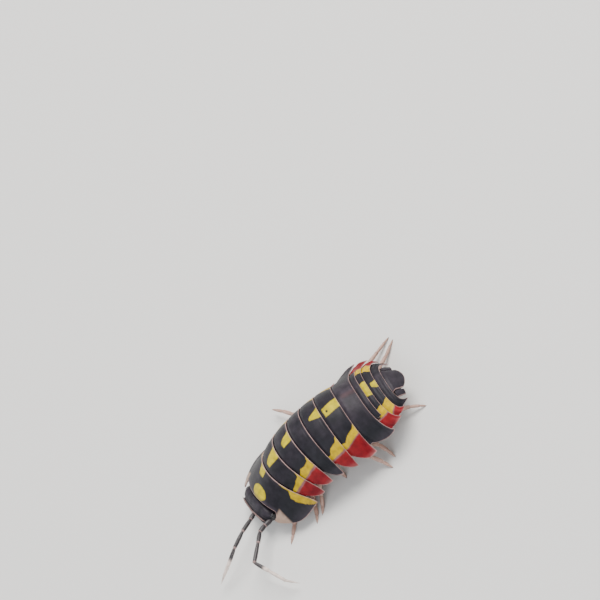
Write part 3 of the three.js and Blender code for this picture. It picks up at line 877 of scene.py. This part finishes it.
# Walking legs: joints along the way from under the belly to the foot, as in the solids.
LEG_SHARES = [0, 0.3, 0.43, 0.58, 0.8, 0.93, 1]
LEG_RADII = [0.27, 0.25, 0.21, 0.18, 0.15, 0.11, 0.05]
LEG_BEND_AT = 0.65
LEG_STATIONS = [2.7, 5.1, 7.1, 8.9, 10.5, 12.2, 13.8]
LEG_ROOT_SHARE, LEG_ROOT_CLEARANCE = 0.42, 0.5
BELLY_ROOT, LAPPET, BELLY_BULGE = 0.7, 0.38, 0.3
BRISTLED = (2, 3, 4)  # articles with two rows of bristles under them
BRISTLES_PER_MM = 9
BRISTLE = {"lean": 0.45, "length": 0.1, "radius": 0.011}
CLAW = {"length": 0.16, "radius": 0.035, "bend": 0.12}
SMALL_CLAW = {"length": 0.08, "radius": 0.02, "bend": 0.5}
CLAW_BROWN = np.array([0.12, 0.06, 0.04])
FLOOR_GAP = 0.004  # no point of a leg lies lower
# For each leg its foot, how early it drops towards the floor and its sideways bend.
LEGS = {
    "left": [
        ((4.65, -7.75, 0.02), 2.4, (0, 0)),
        ((4.65, -4.95, 0.02), 2.2, (0, 0)),
        ((4.3, -4.2, 0.02), 1.6, (0, 0)),
        ((2.9, -0.9, 0.02), 1.5, (0, 0)),
        ((5.05, 2.9, 0.02), 1, (-0.05, 0.3)),
        ((4.35, 3.55, 0.02), 1, (-0.25, 0.4)),
        ((2.25, 7.95, 0.02), 0.7, (-0.55, 0)),
    ],
    "right": [
        ((-3, -6.9, 0.02), 2.4, (0, 0)),
        ((-4.2, -5.4, 0.02), 2.4, (0, 0)),
        ((-4.4, -3.6, 0.02), 1.7, (0, 0)),
        ((-7.2, -3.35, 0.7), 1.1, (0.1, 0.6)),
        ((-4.4, 1.3, 0.02), 1.5, (0, 0)),
        ((-5.85, 8.3, 0.02), 0.9, (0.15, 0)),
        ((-5.35, 8.5, 0.02), 1, (0.9, 0)),
    ],
}


def leg_joints(side, station, foot, drop, bend):
    """The leg's joints, from its root under the belly's bulge to its foot."""
    near = surface(station, BELLY_ROOT, LAPPET)
    far = surface(station, -BELLY_ROOT, LAPPET)
    k = (side * LEG_ROOT_SHARE / BELLY_ROOT + 1) / 2
    below = BELLY_BULGE * (1 - (2 * k - 1) ** 2) + LEG_ROOT_CLEARANCE
    root = far + (near - far) * k - direction(station)[2] * below
    k = np.array(LEG_SHARES)
    aside = np.where(k < LEG_BEND_AT, k / LEG_BEND_AT, (1 - k) / (1 - LEG_BEND_AT))
    x = root[0] + (foot[0] - root[0]) * k + bend[0] * aside
    y = root[1] + (foot[1] - root[1]) * k + bend[1] * aside
    return np.stack([x, y, foot[2] + (root[2] - foot[2]) * (1 - k) ** drop], -1)


def leg_tint(order, k):
    """Pale, with a dusky ring at the article's end."""
    ring = math.exp(-(((k - 0.97) / 0.06) ** 2))
    base = PALE * (1.12 - 0.05 * order)
    return base * (1 - 0.35 * ring) + DUSK * 1.6 * 0.35 * ring


def leg(name, side, station, foot, drop, bend):
    """A walking leg: turned articles, bristles under three of them and two claws."""
    shape = Shape()
    joints = leg_joints(side, station, foot, drop, bend)
    hair = random.Random(SEED * 7 + int(station * 10) + (side > 0))
    for order in range(len(joints) - 1):
        a, b = joints[order], joints[order + 1]
        root, tip = LEG_RADII[order], LEG_RADII[order + 1]
        length = np.linalg.norm(b - a)
        profile = limb_profile(root, tip, rings=12)
        article(shape, a, b, profile, lambda k, order=order: leg_tint(order, k), sides=20)
        axis = (b - a) / length
        _, top = perpendicular(axis)
        down = -top if top[2] > 0 else top
        across = np.cross(axis, down)
        if order not in BRISTLED:
            continue
        for k in np.linspace(0.2, 0.9, max(4, int(length * BRISTLES_PER_MM))):
            for lean in (-BRISTLE["lean"], BRISTLE["lean"]):
                out = down + across * (lean + hair.uniform(-0.1, 0.1))
                out = out / np.linalg.norm(out)
                place = a + (b - a) * k + out * (root + (tip - root) * k) * 0.95
                spine(shape, place, out * 0.5 + axis, BRISTLE["length"], BRISTLE["radius"], PALE * 0.5)
    for claw, sides in ((CLAW, 8), (SMALL_CLAW, 6)):
        bent = axis + np.array([0, 0, -claw["bend"]])
        spine(shape, joints[-1] - axis * 0.02, bent, claw["length"], claw["radius"], CLAW_BROWN, sides)
    for points in shape.points:
        points[:, 2] = np.maximum(points[:, 2], FLOOR_GAP)
    shape.build(name, "pale_cuticle", [name])


for side_name, side_sign in (("left", 1), ("right", -1)):
    for leg_index, leg_station in enumerate(LEG_STATIONS):
        leg(f"leg_{side_name}_{leg_index + 1}", side_sign, leg_station, *LEGS[side_name][leg_index])

# The tail plate between the uropods.
TAIL = {
    "front": 17.15, "rear": 18.97, "front_half": 1.5, "waist": 1.12, "end_half": 1.05, "raised": 0.06,
    "sunk": 0.01, "wall": 0.34, "edge": 0.16, "edge_drop": 0.1,
}
WAIST_AT = 0.4  # part of the tail plate's length at which its waist lies


def tail_half(k):
    """Half the tail plate's width at a part of its length."""
    wide = TAIL["front_half"] + (TAIL["waist"] - TAIL["front_half"]) * smoothstep(0, WAIST_AT, k)
    narrow = TAIL["waist"] + (TAIL["end_half"] - TAIL["waist"]) * smoothstep(WAIST_AT, 1, k)
    return np.where(np.asarray(k) < WAIST_AT, wide, narrow)


def rounded_edge(columns, part):
    """1 over a plate's middle, falling in a quarter circle to 0 at its side edges."""
    return np.sqrt(1 - (1 - np.clip((1 - np.abs(columns)) / part, 0, 1)) ** 2)


def build_sheet(name, loop, tints):
    """A piece from rows of points, down over its outer face and back under it."""
    shape = Shape()
    skin, faces = closed_rings(np.array(loop).transpose(1, 0, 2), flip=True, thin=True)
    shape.add(skin, faces, np.array(tints).transpose(1, 0, 2))
    shape.build(name, "cuticle", [name])


def telson():
    count = 61
    columns = np.linspace(-1, 1, count)
    rows = np.linspace(-0.12, 1, 40)
    edge = rounded_edge(columns, TAIL["edge"])
    drop = TAIL["edge_drop"] * (1 - edge)
    loop, tints = [], []

    def place(k, extra):
        round_end = 0.45 * smoothstep(0.6, 1, k) * columns ** 2
        station = TAIL["front"] + (TAIL["rear"] - TAIL["front"]) * k - round_end
        share = columns * tail_half(k) / table(HALF_ARC, station)
        step = step_under(station - margin(len(PLATES) - 1, share))
        depth = TAIL["sunk"] + step - TAIL["raised"] * (1 - columns ** 2)
        return surface(station, share, depth + extra)

    for k in rows:
        loop.append(place(k, drop + 0.02 * bump(k, 0.55, 0.2) * bump(columns, 0, 0.3)))
        cloud = lattice_noise(columns * 3, np.full(count, k * 5), 41)
        colour = mixed(np.repeat(SLATE[None] * 1.2, count, 0), DUSK, 0.5 + 0.3 * cloud)
        tints.append(rim_colour(colour, np.full(count, (1 - k) * 1.6), (1 - np.abs(columns)) * 0.9))
    for k in rows[::-2]:
        thinned = 0.35 + 0.65 * (1 - smoothstep(0.6, 1, k))
        loop.append(place(k, drop + TAIL["wall"] * edge * thinned + 0.04))
        tints.append(np.repeat(UNDERSIDE[None] * 0.7, count, 0))
    build_sheet("telson", loop, tints)


UROPOD = {
    "base": 17.6, "end": 18.6, "outer": 1.85, "sunk": 0.04, "wall": 0.3, "edge": 0.3, "edge_drop": 0.08,
}
UROPOD_RIM = 0.045


def uropod(side, name):
    """The outer branch, a plate beside the tail plate whose inner edge is tucked under it."""
    count = 25
    columns = np.linspace(-1, 1, count)
    rows = np.linspace(0, 1, 26)
    edge = rounded_edge(columns, UROPOD["edge"])
    drop = UROPOD["edge_drop"] * (1 - edge)
    loop, tints = [], []

    def place(k, extra):
        end = UROPOD["end"] - 0.12 * columns ** 2 - 0.1 * (1 - side * columns)
        station = UROPOD["base"] + (end - UROPOD["base"]) * k
        edge_of_tail = tail_half((station - TAIL["front"]) / (TAIL["rear"] - TAIL["front"]))
        inner = edge_of_tail - 0.25
        outer = np.maximum(edge_of_tail + 0.5, UROPOD["outer"] - 0.12 * k)
        way = (columns + 1) / 2 if side > 0 else (1 - columns) / 2
        arc = inner + (outer - inner) * way
        share = side * arc / table(HALF_ARC, station)
        tucked = 0.32 * (1 - smoothstep(-0.05, 0.14, arc - edge_of_tail))
        depth = UROPOD["sunk"] + tucked + step_under(station - margin(len(PLATES) - 1, share))
        return surface(station, share, depth + extra)

    for k in rows:
        loop.append(place(k, drop))
        colour = np.repeat(mixed(SLATE[None] * 1.3, DUSK, np.array([0.5])), count, 0)
        to_rear = np.full(count, (1 - k) * 1.1)
        tints.append(rim_colour(colour, to_rear, (1 - np.abs(columns)) * 0.35, UROPOD_RIM))
    for k in rows[::-2]:
        thinned = 1 - 0.6 * smoothstep(0.6, 1, k)
        loop.append(place(k, drop + UROPOD["wall"] * edge * thinned + 0.03))
        tints.append(np.repeat(UNDERSIDE[None] * 0.7, count, 0))
    build_sheet(name, loop, tints)


telson()
uropod(1, "uropod_left")
uropod(-1, "uropod_right")


# Breathing plates under the tail, in overlapping pairs; the first two pairs have white patches.
PLEOPOD_PAIRS = 5
PATCHED_PAIRS = 2
PLEOPOD_STATION = 14.7
PLEOPOD_PITCH = 0.62
# Half sizes of a breathing plate.
PLEOPOD_WIDE, PLEOPOD_LONG, PLEOPOD_THICK = 0.62, 0.55, 0.06
PLEOPOD_DEPTH = 2.0
PLEOPOD_TILT = math.radians(14)


def pleopods():
    shape = Shape()
    for pair in range(PLEOPOD_PAIRS):
        station = PLEOPOD_STATION + PLEOPOD_PITCH * pair
        along, left, up = direction(station)
        half = PLEOPOD_WIDE - 0.05 * pair
        depth = PLEOPOD_DEPTH - 0.1 * pair
        for side in (1, -1):
            points, faces = pebble([half, PLEOPOD_LONG, PLEOPOD_THICK], 0.9, wide=28, high=14)
            x, y, z = points.T
            lengthwise = y * math.cos(PLEOPOD_TILT) - z * math.sin(PLEOPOD_TILT)
            upward = y * math.sin(PLEOPOD_TILT) + z * math.cos(PLEOPOD_TILT)
            centre = back_point(station) + left * side * half - up * depth
            placed = centre + x[:, None] * left + lengthwise[:, None] * along + upward[:, None] * up
            colour = np.repeat(UNDERSIDE[None] * 1.1, len(placed), 0)
            if pair < PATCHED_PAIRS:
                patch = bump(x * side, 0.2, 0.25) * bump(lengthwise, 0.1, 0.3)
                colour = mixed(colour, WHITE, 0.9 * patch)
            shape.add(placed, faces, colour)
    shape.build("pleopods", "pale_cuticle")


pleopods()


# Stage: a pale floor in a pale world, a key light, a broad fill and a low rim light. Its sizes are metres.
FLOOR_HALF = 0.6
FLOOR_GREY = (0.72, 0.71, 0.69, 1)
WORLD = {"Color": (0.95, 0.97, 1.0, 1), "Strength": 0.38}


def make_stage():
    mesh = bpy.data.meshes.new("floor")
    corners = [(x * FLOOR_HALF, y * FLOOR_HALF, 0) for x, y in ((-1, -1), (1, -1), (1, 1), (-1, 1))]
    mesh.from_pydata(corners, [], [(0, 1, 2, 3)])
    floor = bpy.data.objects.new("floor", mesh)
    bpy.context.scene.collection.objects.link(floor)
    mat = bpy.data.materials.new("floor")
    mat.use_nodes = True
    set_inputs(mat.node_tree.nodes["Principled BSDF"], {"Base Color": FLOOR_GREY, "Roughness": 0.9})
    mesh.materials.append(mat)
    world = bpy.data.worlds.new("studio")
    bpy.context.scene.world = world
    world.use_nodes = True
    set_inputs(world.node_tree.nodes["Background"], WORLD)


LIGHTS_AIM = Vector((0, 0, 0.002))


def area_light(name, place, size, energy, colour):
    data = bpy.data.lights.new(name, "AREA")
    data.energy, data.size, data.color = energy, size, colour
    light = bpy.data.objects.new(name, data)
    light.location = place
    light.rotation_euler = (LIGHTS_AIM - Vector(place)).to_track_quat("-Z", "Y").to_euler()
    bpy.context.scene.collection.objects.link(light)


# Camera: the direction and scale that put the plates' margins where the photograph has them.
PHOTO_SIZE = 600
CAMERA = {"azimuth": 108.19, "elevation": 49.62, "roll": 53.04, "distance": 200.0, "pixels_per_mm": 12.16}
LOOK_AT, LOOK_AT_PIXEL = np.array([0, -1, 3.909]), (307.3, 435.8)
SENSOR = 36.0


def make_camera():
    """The camera is turned until LOOK_AT shows at its pixel, which lies off the picture's middle."""
    azimuth, elevation, roll = (math.radians(CAMERA[k]) for k in ("azimuth", "elevation", "roll"))
    level = math.cos(elevation)
    back = np.array([math.sin(azimuth) * level, -math.cos(azimuth) * level, math.sin(elevation)])
    right = np.array([math.cos(azimuth), math.sin(azimuth), 0])
    up = np.cross(back, right)
    eye_place = LOOK_AT + SHIFT + back * CAMERA["distance"]

    def ray(px, py):
        x, y = px - LOOK_AT_PIXEL[0], LOOK_AT_PIXEL[1] - py
        sx = math.cos(roll) * x + math.sin(roll) * y
        sy = -math.sin(roll) * x + math.cos(roll) * y
        d = (sx * right + sy * up) / CAMERA["pixels_per_mm"] - back * CAMERA["distance"]
        return d / np.linalg.norm(d)

    centre = PHOTO_SIZE / 2
    ahead = ray(centre, centre)
    above = ray(centre, centre - 50) - ahead
    above = above - ahead * (above @ ahead)
    above = above / np.linalg.norm(above)
    turn = Matrix(np.stack([np.cross(ahead, above), above, -ahead], 1).tolist())
    data = bpy.data.cameras.new("camera")
    data.sensor_width = SENSOR
    data.lens = CAMERA["distance"] * CAMERA["pixels_per_mm"] * SENSOR / PHOTO_SIZE
    data.clip_start, data.clip_end = 0.005, 10
    camera = bpy.data.objects.new("camera", data)
    camera.matrix_world = Matrix.Translation(Vector((eye_place * MM).tolist())) @ turn.to_4x4()
    bpy.context.scene.collection.objects.link(camera)
    bpy.context.scene.camera = camera


make_stage()
area_light("key", (-0.12, 0.16, 0.32), 0.25, 2.6, (1.0, 0.98, 0.95))
area_light("fill", (0.3, -0.15, 0.25), 0.4, 1.4, (0.93, 0.96, 1.0))
area_light("rim", (-0.25, -0.3, 0.15), 0.3, 0.8, (1.0, 1.0, 1.0))
make_camera()
